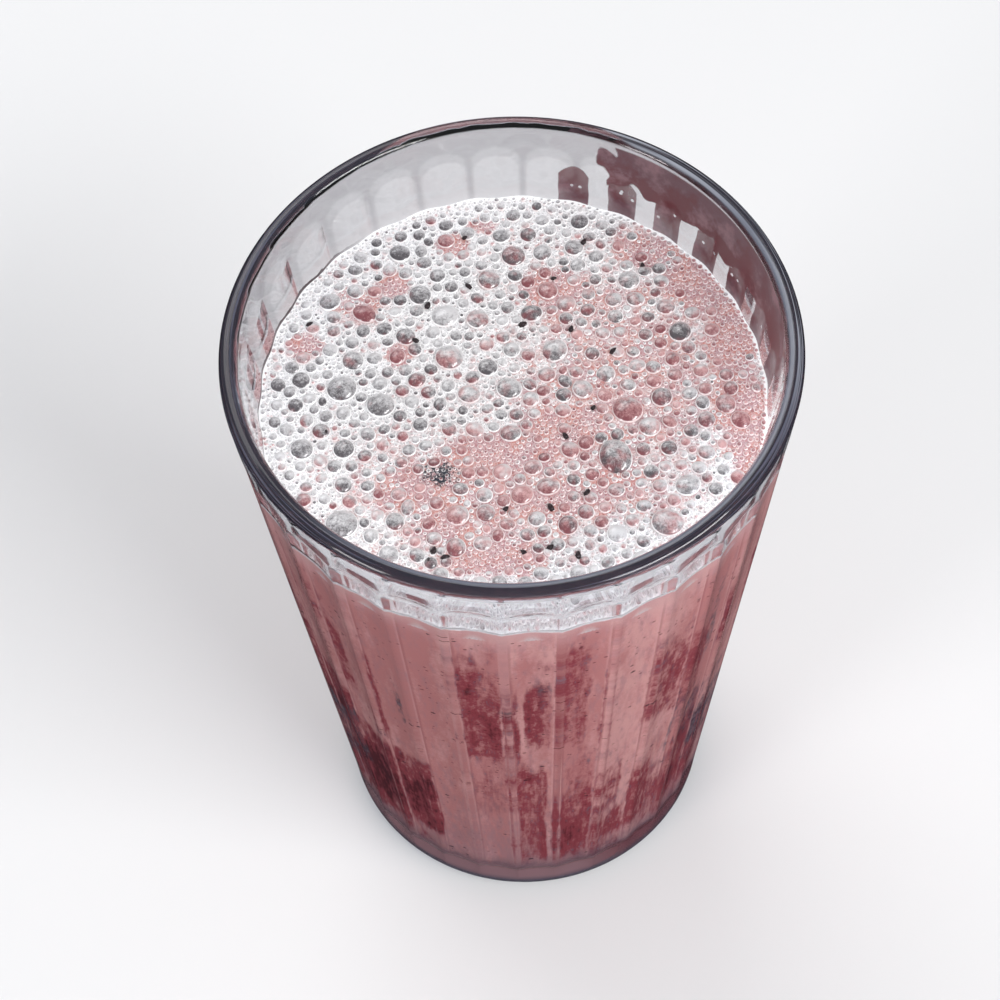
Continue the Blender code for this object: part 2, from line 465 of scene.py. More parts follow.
def drink_profile():
    """Rounded floor, wall, flat top under the froth."""
    bottom = FLOOR_THICKNESS - INTO_WALL
    corner = FLOOR_THICKNESS + FLOOR_ROUNDING
    reach = FLOOR_ROUNDING + INTO_WALL
    centre = (inner_radius(corner) - FLOOR_ROUNDING, corner)
    top = FROTH_BOTTOM + INTO_FROTH
    profile = [(0.0, bottom), (FLOOR_RING, bottom)]
    profile += arc(centre, reach, -90, 0, CORNER_STEPS)
    profile += wall_points(corner + ABOVE_CORNER, top, DRINK_RINGS, inner_radius, -INTO_WALL)
    profile += [(FROTH_RADIUS * 0.5, top), (0.0, top)]
    return profile


drink = press(turned("berry_smoothie", drink_profile(), WALL_SIDES))
print("drink has", len(drink.data.polygons), "faces")

# %% [markdown]
# ## Where the pulp lies
#
# Pulp has floated up and stained the froth in patches: one behind the middle, a broad swath
# in front of it, flecks on the left, and a band along the right-hand wall. Each patch is
# named here by its place and reach in millimetres. Noise then frays their edges.

# %% Pulp patches as a soft map
PULP_PATCHES = (
    (6.5, 19.5, 5.2, 4.4, 0.85),
    (-8.2, 28.0, 2.2, 2.0, 1.0),
    (-17.0, 21.0, 2.2, 2.0, 1.0),
    (-16.6, 8.6, 2.0, 2.0, 1.0),
    (-30.0, 11.0, 2.6, 2.2, 0.9),
    (-3.6, 31.6, 2.6, 1.4, 0.7),
    (-15.0, -14.0, 7.0, 4.6, 0.6),
    (-10.0, -20.0, 6.5, 5.0, 0.65),
    (-2.5, -9.5, 10.0, 5.4, 0.75),
    (8.0, -4.0, 8.0, 4.4, 0.75),
    (5.0, -17.0, 10.0, 6.0, 0.65),
    (14.0, -14.0, 5.5, 5.0, 0.55),
    (-4.0, -26.5, 9.0, 3.4, 0.8),
    (20.0, 25.5, 6.5, 4.4, 0.6),
    (27.0, 19.0, 5.4, 6.4, 0.9),
    (32.0, 9.0, 5.0, 8.6, 0.95),
    (33.5, -5.0, 4.6, 10.6, 0.9),
    (17.0, 8.0, 5.0, 4.0, 0.45),
    (25.0, 4.0, 5.0, 4.6, 0.4),
    (-22.0, 17.0, 5.0, 4.0, 0.4),
    (16.0, 2.0, 18.0, 26.0, 0.40),
    (-4.0, -16.0, 22.0, 14.0, 0.40),
)
PATCH_REACH = 1.45
PATCH_FALLOFF = 1.5
DARK_CLUMP = (-10.6, -12.2, 2.9, 2.3)
CLUMP_REACH = 1.3
FRAY_SCALE = 0.34
FRAY_WAVES = 7


def fray(points, scale, seed):
    """Cheap smooth noise from a few crossed waves, about -1 to 1."""
    draw = random.Random(seed)
    total = np.zeros(len(points))
    for wave in range(FRAY_WAVES):
        angle = draw.random() * math.tau
        stretch = scale * (1.0 + wave * 0.55)
        along = points[:, 0] * math.cos(angle) + points[:, 1] * math.sin(angle)
        total += np.sin(along * stretch + draw.random() * math.tau) / (1.0 + 0.3 * wave)
    return total / 2.6


def pulp_at(points):
    """Share of pulp, 0 to 1, at points given in metres."""
    spots = np.asarray(points)[:, :2] / MM
    edge = fray(spots, FRAY_SCALE, 5) * 0.22 + fray(spots, FRAY_SCALE * 3.1, 6) * 0.18
    share = np.zeros(len(spots))
    for x, y, wide, deep, strength in PULP_PATCHES:
        away = np.hypot((spots[:, 0] - x) / wide, (spots[:, 1] - y) / deep) + edge
        patch = np.clip(PATCH_REACH - away, 0.0, 1.0) ** PATCH_FALLOFF * strength
        share = np.maximum(share, patch)
    return np.clip(share, 0.0, 1.0)


def clump_at(points):
    """Share of the dark grey clump of skins, 0 to 1."""
    spots = np.asarray(points)[:, :2] / MM
    x, y, wide, deep = DARK_CLUMP
    away = np.hypot((spots[:, 0] - x) / wide, (spots[:, 1] - y) / deep)
    return np.clip(CLUMP_REACH - away + fray(spots, 2.5, 9) * 0.3, 0.0, 1.0)


print("pulp map holds", len(PULP_PATCHES), "patches")

# %% [markdown]
# ## The bed of froth
#
# Under the visible bubbles lies a wet cushion of foam too fine to see as bubbles. It climbs
# a little at the glass and swells gently between the big bubbles. It is turned with many
# rings on its top so that a noise relief and the pulp map have points to work on.

# %% Turn the froth bed and raise its relief
BED_SIDES = 360
BED_RINGS = 110
BED_RELIEF = 0.2 * MM
MENISCUS_HEIGHT = FROTH_CONTACT - FROTH_LEVEL
MENISCUS_WIDTH = 1.6 * MM
CALM_AT_WALL = 2.0 * MM


def bed_profile():
    """Underside, side against the wall, small climb at the glass, flat top."""
    edge = FROTH_RADIUS + INTO_WALL
    profile = [(0.0, FROTH_BOTTOM), (FROTH_RADIUS * 0.5, FROTH_BOTTOM)]
    profile += wall_points(FROTH_BOTTOM, FROTH_CONTACT, 10, inner_radius, -INTO_WALL)
    for ring in range(1, BED_RINGS):
        radius = edge * (1.0 - ring / BED_RINGS)
        near = max(0.0, 1.0 - (edge - radius) / MENISCUS_WIDTH)
        profile.append((radius, FROTH_LEVEL + MENISCUS_HEIGHT * near ** 2))
    return profile + [(0.0, FROTH_LEVEL)]


def points_of(mesh):
    """The mesh's points as an array."""
    flat = np.zeros(len(mesh.vertices) * 3)
    mesh.vertices.foreach_get("co", flat)
    return flat.reshape(-1, 3)


def bed_height(points):
    """Height of the bed's top at any points: a soft swell, and the climb at the wall."""
    from_wall = FROTH_RADIUS - np.hypot(points[:, 0], points[:, 1])
    inside = np.clip(from_wall / CALM_AT_WALL, 0.0, 1.0)
    climb = np.clip(1.0 - from_wall / MENISCUS_WIDTH, 0.0, 1.0) ** 2 * MENISCUS_HEIGHT
    spots = points[:, :2] / MM
    swell = fray(spots, 0.28, 3) + 0.5 * fray(spots, 0.9, 4)
    return FROTH_LEVEL + climb + inside * swell * BED_RELIEF


def store(mesh, name, values):
    """Keep one number per point for the material to read."""
    layer = mesh.attributes.new(name, "FLOAT", "POINT")
    layer.data.foreach_set("value", np.asarray(values, dtype=np.float32))


def raise_relief(bed):
    """Move the points on top of the bed to its swelling height."""
    points = points_of(bed.data)
    on_top = points[:, 2] >= FROTH_LEVEL - 0.01 * MM
    points[on_top, 2] = bed_height(points[on_top])
    bed.data.vertices.foreach_set("co", points.ravel())
    bed.data.update()
    store(bed.data, "pulp", pulp_at(points))
    store(bed.data, "clump", clump_at(points))


bed = press(turned("froth_bed", bed_profile(), BED_SIDES))
raise_relief(bed)
print("froth bed has", len(bed.data.polygons), "faces")

# %% [markdown]
# ## Choosing the bubbles
#
# Bubbles in froth never overlap, and small ones fill the room between big ones. The same
# rule works here: the largest are placed first, then ever smaller ones are dropped at
# random and kept only where nothing is in the way. The named ones and the first seeded draw
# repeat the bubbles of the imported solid, so those domes stand exactly where the solid's do.

# %% The bubbles that the solid has too
BIG_BUBBLES = (
    (0.0142, -0.0104, 0.0026),
    (-0.0246, -0.0198, 0.0024),
    (0.0209, -0.0215, 0.0023),
    (-0.0246, 0.0030, 0.0023),
    (0.0163, -0.0024, 0.0023),
    (-0.0090, 0.0077, 0.0022),
    (-0.0190, -0.0002, 0.0021),
    (-0.0095, 0.0152, 0.0021),
    (0.0063, 0.0083, 0.0020),
    (0.0008, 0.0256, 0.0019),
    (-0.0005, 0.0020, 0.0019),
    (0.0241, -0.0154, 0.0019),
    (-0.0047, 0.0143, 0.0018),
    (-0.0131, 0.0190, 0.0018),
    (-0.0063, 0.0012, 0.0018),
    (0.0246, 0.0108, 0.0018),
    (-0.0029, 0.0214, 0.0018),
    (-0.0303, -0.0072, 0.0018),
    (-0.0160, 0.0268, 0.0017),
    (-0.0213, 0.0160, 0.0017),
)
SPREAD_SEED = 31
SPREAD_COUNT = 104
SPREAD_LARGEST = 0.0017
SPREAD_SMALLEST = 0.0009
BUBBLE_SPACING = 1.06
BUBBLE_RISE = 0.48
SPREAD_ATTEMPTS = 400
SOLID_REACH = inner_radius(FROTH_CONTACT) - 1.5 * MM


def solid_bubbles():
    """The named bubbles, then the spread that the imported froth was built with."""
    draw = random.Random(SPREAD_SEED)
    placed = list(BIG_BUBBLES)
    for index in range(SPREAD_COUNT):
        share = index / (SPREAD_COUNT - 1)
        radius = SPREAD_LARGEST + (SPREAD_SMALLEST - SPREAD_LARGEST) * share
        for attempt in range(SPREAD_ATTEMPTS):
            out = (SOLID_REACH - radius) * math.sqrt(draw.random())
            angle = math.tau * draw.random()
            x, y = out * math.cos(angle), out * math.sin(angle)
            gaps = [math.hypot(x - a, y - b) / (radius + c) for a, b, c in placed]
            if min(gaps) > BUBBLE_SPACING:
                placed.append((x, y, radius))
                break
    return placed


bubbles = solid_bubbles()
print(len(bubbles), "bubbles repeat the solid's")

# %% [markdown]
# The finer bubbles come from the same idea, run with arrays. A ring of small bubbles clings
# to the glass. Then each batch has its own size range and number of tries. In the pulp
# swaths and at the front wall the foam is finer, so larger bubbles are mostly refused there.

# %% Drop the finer bubbles
FINE_SEED = 12
FINE_BATCHES = (
    (1.25, 0.95, 1500),
    (0.95, 0.70, 4000),
    (0.70, 0.50, 9000),
    (0.50, 0.36, 16000),
    (0.36, 0.26, 26000),
    (0.26, 0.19, 26000),
)
PULP_REFUSES_FROM = 0.35
PULP_REFUSES_OVER = 0.3
PULP_FINER_THAN = 0.44
CLUMP_FINER_THAN = 0.34
PRESSED_TOGETHER = 0.88
FRONT_EDGE = 5.5
FRONT_EDGE_FINER_THAN = 0.42
WALL_RING_STEP = 0.62
WALL_RING_RADII = (0.26, 0.52)


def drop_fine(placed):
    """Add bubbles batch by batch wherever they touch nothing already there."""
    draw = np.random.default_rng(FINE_SEED)
    known = np.array(placed) / MM
    angle = 0.0
    while angle < math.tau:
        radius = draw.uniform(*WALL_RING_RADII)
        out = FROTH_RADIUS / MM - radius * 0.9
        known = np.vstack([known, [out * math.cos(angle), out * math.sin(angle), radius]])
        angle += (radius * 2.0 + draw.uniform(0.0, WALL_RING_STEP)) / out
    for largest, smallest, tries in FINE_BATCHES:
        radii = np.sort(draw.uniform(smallest, largest, tries))[::-1]
        out = np.sqrt(draw.random(tries)) * (FROTH_RADIUS / MM - 0.3)
        turn = draw.random(tries) * math.tau
        spots = np.stack([out * np.cos(turn), out * np.sin(turn)], -1)
        limit = PULP_REFUSES_FROM + PULP_REFUSES_OVER * draw.random(tries)
        refuse = (pulp_at(spots * MM) > limit) & (radii > PULP_FINER_THAN)
        refuse |= (clump_at(spots * MM) > 0.1) & (radii > CLUMP_FINER_THAN)
        at_front = (out > FROTH_RADIUS / MM - FRONT_EDGE) & (spots[:, 1] < -FRONT_EDGE * 3)
        refuse |= at_front & (radii > FRONT_EDGE_FINER_THAN)
        fits = np.hypot(spots[:, 0], spots[:, 1]) + radii < FROTH_RADIUS / MM
        for (x, y), radius in zip(spots[fits & ~refuse], radii[fits & ~refuse]):
            gaps = np.hypot(known[:, 0] - x, known[:, 1] - y) - known[:, 2]
            if gaps.min() > radius * PRESSED_TOGETHER:
                known = np.vstack([known, [x, y, radius]])
    return known * MM


bubbles = drop_fine(bubbles)
print(len(bubbles), "bubbles in all")

# %% [markdown]
# ## Blowing the bubbles
#
# Each bubble is a low dome, steep where its skin meets the foam and closed underneath. A
# Geometry Nodes tree sets one dome on every point, scaled to that bubble's radius, and the
# instances are then realized. Fine bubbles get few faces, because thousands of them show.

# %% Geometry Nodes that set a piece on every point
def scatter_tree():
    """Instance one object on all points by their size and turn, realize and paint it."""
    tree = group_tree("set on points", ("Overall size",))
    tree.tree.interface.new_socket("Piece", in_out="INPUT", socket_type="NodeSocketObject")
    tree.tree.interface.new_socket("Finish", in_out="INPUT", socket_type="NodeSocketMaterial")
    given = tree.node("NodeGroupInput")
    info = tree.node("GeometryNodeObjectInfo", None, given.out("Piece"))
    read = "GeometryNodeInputNamedAttribute"
    size, rise, stretch = (
        tree.node(read, {"data_type": "FLOAT"}, name) for name in ("size", "rise", "stretch")
    )
    turn = tree.node(read, {"data_type": "FLOAT_VECTOR"}, "turn")
    size = size * given.out("Overall size")
    scale = tree.node("ShaderNodeCombineXYZ", None, size * stretch, size / stretch, size * rise)
    placed = tree.node(
        "GeometryNodeInstanceOnPoints",
        None,
        given,
        Instance=info.out("Geometry"),
        Rotation=tree.node("FunctionNodeEulerToRotation", None, turn),
        Scale=scale,
    )
    solid = tree.node("GeometryNodeRealizeInstances", None, placed)
    painted = tree.node("GeometryNodeSetMaterial", None, solid, Material=given.out("Finish"))
    tree.node("NodeGroupOutput", None, painted)
    return tree.tree


scatter = scatter_tree()


def scattered(name, spots, values, piece, finish):
    """One joined mesh: the piece set on every spot, with the spots' numbers kept."""
    cloud = bpy.data.meshes.new(name)
    cloud.from_pydata(spots.tolist(), [], [])
    for key in ("size", "rise", "stretch", "tone", "pulp"):
        store(cloud, key, values[key])
    layer = cloud.attributes.new("turn", "FLOAT_VECTOR", "POINT")
    layer.data.foreach_set("vector", np.asarray(values["turn"], dtype=np.float32).ravel())
    holder = link(name, cloud)
    modifier = holder.modifiers.new("scatter", "NODES")
    modifier.node_group = scatter
    set_inputs(modifier, {"Overall size": 1.0, "Piece": piece, "Finish": finish})
    made_plain(holder)
    holder.data.shade_smooth()
    bpy.data.objects.remove(piece, do_unlink=True)
    return holder


print("scatter tree has", len(scatter.nodes), "nodes")

# %% [markdown]
# ## Finishes of the froth
#
# Froth is white only where light meets many tiny walls. A bubble big enough to see lets us
# look a little way in, so its middle is grey, or pink where pulp lies below. Its edge is
# painted white, as the foam wall's own white and as the sheen where the skin is seen nearly
# side on. Each bubble's far side is painted paler and its near side darker, as the light and
# shade of window light from behind. The dome's own radius is stored as a number on its
# points, so the white edge follows each bubble from any side.

# %% Bubble skin
RING_WHITE = (0.97, 0.96, 0.96)
FOAM_WHITE = (0.89, 0.875, 0.88)
FOAM_GREY = (0.44, 0.425, 0.43)
BUBBLE_PALE = (0.66, 0.645, 0.65)
BUBBLE_DARK = (0.085, 0.075, 0.082)
CLUMP_SLATE = (0.022, 0.026, 0.038)
PULP_PINK = (0.60, 0.29, 0.28)
PULP_DEEP = (0.24, 0.055, 0.065)
PAINTED_LIGHT_FROM = (0.40, 0.90, 0.15)
RING_WIDTH = 0.17 * MM


def bubble_finish():
    """Wet skin: grey or pink inside, with painted light on the far side, painted shade on the near
    side and a painted white edge.
    """
    skin = Finish("bubble_skin", Roughness=0.28, IOR=1.36, Coat_Weight=1.0, Coat_Roughness=0.03)
    rim, size, tone, pulp = (skin.attribute(name) for name in ("rim", "size", "tone", "pulp"))
    normal = skin.node("ShaderNodeTexCoord").out("Normal")
    dot = {"operation": "DOT_PRODUCT"}
    # Painted light and shade: the side turned toward the window light behind comes out paler, the side
    # away from it darker.
    painted_lit_side = skin.node("ShaderNodeVectorMath", dot, normal, PAINTED_LIGHT_FROM).out("Value")
    cloud = skin.clouds(skin.place, 900.0, 3.0, 0.65)
    grain = skin.clouds(skin.place, 3000.0, 3.0, 0.8)
    shade = tone - painted_lit_side * 0.65 + (cloud - 0.5) * 1.4 + (grain - 0.5) * (1.4 + tone * 0.8)
    depth = skin.step(shade, -0.2, 1.1)
    grey = skin.mix(depth, BUBBLE_PALE, BUBBLE_DARK)
    stain = skin.clouds(skin.place, 520.0, 2.0, 0.6)
    red = skin.step(pulp * 1.2 + (stain - 0.5) * 2.0 - painted_lit_side * 0.3, 0.15, 0.95)
    berry = skin.mix(depth, PULP_PINK, PULP_DEEP)
    inside = skin.mix(red * 0.8, grey, berry)
    # Painted white edge: the foam wall's own white and the sheen where the skin is seen nearly side
    # on.
    ring = RING_WIDTH / size
    edge = skin.step(rim, 1.0 - ring, 1.0 - ring * 0.45)
    blush = skin.mix(red * 0.42, RING_WHITE, PULP_PINK)
    colour = skin.mix(edge, inside, blush)
    slated = skin.step(tone, 0.88, 1.15) * skin.step(grain, 0.40, 0.54)
    skin.feed(Base_Color=skin.mix(slated * 0.9, colour, CLUMP_SLATE))
    skin.bump(grain, 0.25, 0.06 * MM)
    return skin.material


bubble_skin = bubble_finish()
print("bubble skin has", len(bubble_skin.node_tree.nodes), "nodes")


# %% [markdown]
# Foam and drink both touch the wall, and each flute is a lens that shifts and widens what
# lies behind it. Noise that is read at shifted angles jumps at each ridge in the same way.

# %% Noise and pink behind the flutes
FLUTE_LENS = 1.7
PINK_LIGHT = (0.80, 0.43, 0.405)
PINK_DEEP = (0.62, 0.26, 0.25)
PINK_MILKY = (0.77, 0.44, 0.42)
RIDGE_SHADE = (0.40, 0.13, 0.13)
MAUVE = (0.46, 0.25, 0.27)
MILKY_FROM = 94.5 * MM
MILKY_FULL = 103.5 * MM


def seen_through_flutes(tree):
    """Height, place across the flute, and noises that jump at each ridge."""
    axes = tree.node("ShaderNodeSeparateXYZ", None, tree.place)
    height = axes.out("Z")
    turns = (axes.out("Y").math("ARCTAN2", axes) - FIRST_RIDGE) * (FLUTE_COUNT / math.tau)
    across = turns.math("FRACT") - 0.5
    seen = (turns.math("FLOOR") + across * FLUTE_LENS) * (math.tau / FLUTE_COUNT)
    around = [seen.math(side) * RIM_RADIUS for side in ("COSINE", "SINE")]
    behind = tree.node("ShaderNodeCombineXYZ", None, *around, height * 0.6)
    wide = [part * 5.0 for part in around]
    drawn_out = tree.node("ShaderNodeCombineXYZ", None, *wide, height * 0.25)
    broad = tree.clouds(behind, 130.0, 3.0, 0.6)
    blot = tree.clouds(behind, 420.0, 3.0, 0.6)
    streak = tree.clouds(drawn_out, 120.0, 2.0, 0.6)
    fine = tree.clouds(tree.place, 1500.0, 4.0, 0.75)
    layers = height * 2.6 + broad * (12.0 * MM)
    layered = tree.node("ShaderNodeCombineXYZ", None, *around, layers)
    stroke = tree.clouds(layered, 280.0, 3.0, 0.6)
    each = tree.node("ShaderNodeTexWhiteNoise", {"noise_dimensions": "1D"}, W=turns.math("FLOOR"))
    noises = {"broad": broad, "blot": blot, "streak": streak, "fine": fine, "stroke": stroke}
    return SimpleNamespace(height=height, across=across, each=each, **noises)


def milky_pink(tree, seen):
    """Dusty pink with mauve blots, paler towards the froth line, with a painted highlight and painted
    shade along each ridge, in foam and drink alike.
    """
    low = 1.0 - tree.step(seen.height, 6.0 * MM, 52.0 * MM)
    light = seen.broad + (seen.fine - 0.5) * 0.5 + (seen.each - 0.5) * 0.3
    pink = tree.mix(tree.step(light, 0.3, 0.7), PINK_DEEP, PINK_LIGHT)
    # Painted highlight on one side of each ridge and painted shade on the other.
    pink = tree.mix(tree.step(seen.across, 0.43, 0.47) * 0.4, pink, PINK_MILKY)
    pink = tree.mix((1.0 - tree.step(seen.across, -0.47, -0.42)) * 0.4, pink, RIDGE_SHADE)
    dusty = tree.mix(tree.step(seen.blot + low * 0.25, 0.45, 0.85) * 0.75, pink, MAUVE)
    cloudy = seen.height + (seen.broad - 0.5) * (8.0 * MM)
    milky = tree.step(cloudy, MILKY_FROM, MILKY_FULL)
    return tree.mix(milky ** 1.5, dusty, PINK_MILKY)


# %% Bed of foam
PULP_SALMON = (0.52, 0.195, 0.165)
PULP_MAUVE = (0.44, 0.21, 0.225)
WHITE_EDGE_DEPTH = 0.5 * MM
PINK_FROM_DEPTH = 1.0 * MM
AT_GLASS_FROM = FROTH_RADIUS - 0.5 * MM
AT_GLASS_FULL = FROTH_RADIUS - 0.2 * MM


def foam_finish():
    """Foam too fine to model: white cells, pulp stains, a dark clump, pink down the side."""
    foam = Finish("wet_foam", Roughness=0.5, IOR=1.36, Coat_Weight=0.2, Coat_Roughness=0.2)
    pulp, clump = foam.attribute("pulp"), foam.attribute("clump")
    cells = foam.step(foam.spots(foam.place, 1900.0, "DISTANCE_TO_EDGE"), 0.03, 0.26)
    pores = foam.step(foam.spots(foam.place, 4300.0, "DISTANCE_TO_EDGE"), 0.04, 0.30)
    walls = 1.0 - cells * 0.6 - pores * 0.4
    frayed = foam.clouds(foam.place, 900.0, 4.0, 0.65)
    patch = foam.clouds(foam.place, 330.0, 2.0, 0.5)
    dots = foam.clouds(foam.place, 2400.0, 3.0, 0.7)
    white = foam.mix(walls, FOAM_GREY, FOAM_WHITE)
    red = foam.step(pulp + (frayed - 0.5) * 0.9 + (dots - 0.5) * 0.5, 0.02, 0.50)
    rose = foam.mix(foam.step(patch, 0.42, 0.60), PULP_MAUVE, PULP_SALMON)
    berry = foam.mix(foam.step(dots + pulp * 0.06, 0.58, 0.70) * 0.8, rose, PULP_DEEP)
    stained = foam.mix(red * (1.0 - walls * 0.30), white, berry)
    grit = foam.step(dots + clump * 0.30, 0.58, 0.78)
    dark = foam.mix(grit * foam.step(clump, 0.0, 0.6), stained, CLUMP_SLATE)
    seen = seen_through_flutes(foam)
    under = (FROTH_CONTACT - seen.height) + (seen.broad - 0.5) * (1.2 * MM)
    axes = foam.node("ShaderNodeSeparateXYZ", None, foam.place)
    radius = (axes * axes + axes.out("Y") * axes.out("Y")).math("SQRT")
    at_glass = foam.step(radius, AT_GLASS_FROM, AT_GLASS_FULL)
    side = foam.step(under, WHITE_EDGE_DEPTH, PINK_FROM_DEPTH) * at_glass
    edge = foam.mix(at_glass, dark, RING_WHITE)
    foam.feed(Base_Color=foam.mix(side, edge, milky_pink(foam, seen)))
    foam.bump(cells + pores * 0.5, 0.45, 0.1 * MM)
    return foam.material


wet_foam = foam_finish()
bed.data.materials.append(wet_foam)
print("wet foam has", len(wet_foam.node_tree.nodes), "nodes")

# %% [markdown]
# Four domes serve all the bubbles, from a finely rounded one for the few largest down to a
# coarse one for the thousands that are only a few pixels wide in the picture. Each row
# below gives the radii it serves in millimetres, its sides and its rings.

# %% Domes and where they stand
DOMES = (
    ("bubbles_large", 9.9, 1.25, 40, 11),
    ("bubbles_medium", 1.25, 0.55, 16, 5),
    ("bubbles_small", 0.55, 0.30, 10, 3),
    ("bubbles_fine", 0.30, 0.0, 7, 2),
)
TONE_SEED = 77
CAP_ANGLE = math.radians(62.0)
RING_RISE = 0.16
CALM_FRONT = -20.0 * MM
DARKEST_TONE = 0.88


def dome(name, sides, rings):
    """A closed unit dome whose points know how far out they are."""
    profile = [(0.0, -0.5), (0.9, -0.4), (1.0, 0.0)]
    for angle in np.linspace(CAP_ANGLE, 0.0, rings + 1)[:-1]:
        rise = (math.cos(angle) - math.cos(CAP_ANGLE)) / (1.0 - math.cos(CAP_ANGLE))
        out = math.sin(angle) / math.sin(CAP_ANGLE) * 0.99
        profile.append((out, RING_RISE + (1.0 - RING_RISE) * rise))
    made = turned(name, profile + [(0.0, 1.0)], sides)
    points = points_of(made.data)
    rim = np.hypot(points[:, 0], points[:, 1])
    store(made.data, "rim", np.where(points[:, 2] < 0.0, 1.0, rim))
    return made


def bubble_values(chosen):
    """Height, proportion, tone and stain of the chosen bubbles."""
    draw = np.random.default_rng(TONE_SEED)
    spots = np.column_stack([chosen[:, :2], bed_height(chosen[:, :2])])
    count = len(chosen)
    turn = np.zeros((count, 3))
    turn[:, 2] = draw.random(count) * math.tau
    turn[:, :2] = draw.normal(0.0, 0.06, (count, 2))
    small = np.clip(1.0 - chosen[:, 2] / (1.3 * MM), 0.0, 1.0)
    from_wall = FROTH_RADIUS - np.hypot(spots[:, 0], spots[:, 1])
    in_front = spots[:, 1] < CALM_FRONT
    calm = np.where(in_front, FRONT_EDGE * MM * 1.3, CALM_AT_WALL)
    at_wall = np.clip(1.5 - 1.5 * from_wall / calm, 0.0, 1.0)
    at_wall *= np.where(in_front, 0.45, 0.05)
    tone = draw.normal(0.52, 0.21, count) - 0.30 * small - at_wall
    values = {
        "size": chosen[:, 2] * draw.uniform(0.95, 1.0, count),
        "rise": BUBBLE_RISE + 0.12 * small + draw.normal(0.0, 0.03, count),
        "stretch": draw.normal(1.0, 0.04, count),
        "turn": turn,
        "tone": np.clip(tone, 0.0, DARKEST_TONE) + clump_at(spots),
        "pulp": np.clip(pulp_at(spots) + (draw.random(count) < 0.3) * 0.35, 0.0, 1.0),
    }
    return spots, values


froth_pieces = [bed]
for name, largest, smallest, sides, rings in DOMES:
    chosen = bubbles[(bubbles[:, 2] < largest * MM) & (bubbles[:, 2] >= smallest * MM)]
    spots, values = bubble_values(chosen)
    made = scattered(name, spots, values, dome(name + "_dome", sides, rings), bubble_skin)
    froth_pieces.append(made)
    print(name, len(chosen), "bubbles,", len(made.data.polygons), "faces")

# %% [markdown]
# ## Seeds
#
# Berry seeds float on the froth. A seed is a small flattened drop with a blunt ridge, wet
# and nearly black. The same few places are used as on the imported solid.

# %% Seeds on the froth
SEED_LENGTH = 1.3 * MM
SEED_WIDTH = 0.8 * MM
SEED_RISE = 0.4 * MM
SEED_SIDES = 7
SEED_SIZE_SEED = 4
SEED_BLACK = (0.006, 0.005, 0.008)
SEED_RED = (0.03, 0.012, 0.014)
SEEDS = (
    (0.0018, 0.0130, 20),
    (0.0088, 0.0120, 75),
    (0.0148, 0.0078, 40),
    (0.0066, 0.0211, 10),
    (0.0113, 0.0276, 55),
    (0.0198, 0.0230, 95),
    (-0.0060, 0.0202, 130),
    (-0.0063, 0.0291, 25),
    (-0.0120, 0.0171, 65),
    (-0.0139, 0.0109, 150),
    (-0.0293, 0.0144, 35),
    (-0.0269, -0.0044, 80),
    (-0.0125, -0.0263, 95),
    (-0.0118, -0.0247, 70),
    (-0.0102, -0.0259, 15),
    (-0.0016, -0.0183, 45),
    (0.0047, -0.0183, 110),
    (0.0099, -0.0162, 60),
    (0.0106, -0.0133, 5),
    (0.0007, -0.0255, 140),
    (0.0044, -0.0249, 30),
    (0.0082, -0.0263, 85),
    (0.0072, -0.0066, 120),
    (0.0114, -0.0019, 50),
)


def seed_finish():
    """Wet, almost black, with a trace of red."""
    gloss = {"Specular_IOR_Level": 0.3, "Coat_Weight": 0.15, "Coat_Roughness": 0.1}
    seed = Finish("wet_seed", Roughness=0.4, **gloss)
    speck = seed.clouds(seed.place, 3000.0)
    seed.feed(Base_Color=seed.mix(speck, SEED_BLACK, SEED_RED))
    return seed.material


def seed_shape(name):
    """A unit seed: a flat drop with blunt facets, pointed at one end."""
    profile = [(0.0, -1.0), (0.7, -0.7), (1.0, -0.1), (0.75, 0.6), (0.0, 1.0)]
    made = turned(name, profile, SEED_SIDES)
    points = points_of(made.data)
    along = points[:, 0].copy()
    points[:, 1] *= SEED_WIDTH / SEED_LENGTH * (1.0 - 0.4 * along)
    made.data.vertices.foreach_set("co", points.ravel())
    return made


wet_seed = seed_finish()
places = np.array([(x, y) for x, y, turn in SEEDS])
count = len(places)
seed_draw = np.random.default_rng(SEED_SIZE_SEED)
seed_spots = np.column_stack([places, bed_height(places) + SEED_RISE * 0.5])
seed_turns = np.zeros((count, 3))
seed_turns[:, 2] = np.radians([turn for x, y, turn in SEEDS])
seed_values = {
    "size": SEED_LENGTH / 2 * seed_draw.uniform(0.75, 1.15, count),
    "rise": np.full(count, SEED_RISE * 2 / SEED_LENGTH),
    "stretch": np.ones(count),
    "turn": seed_turns,
    "tone": np.zeros(count),
    "pulp": np.zeros(count),
}
seeds = scattered("seeds_on_froth", seed_spots, seed_values, seed_shape("seed"), wet_seed)
froth_pieces.append(seeds)
print(count, "seeds on the froth")
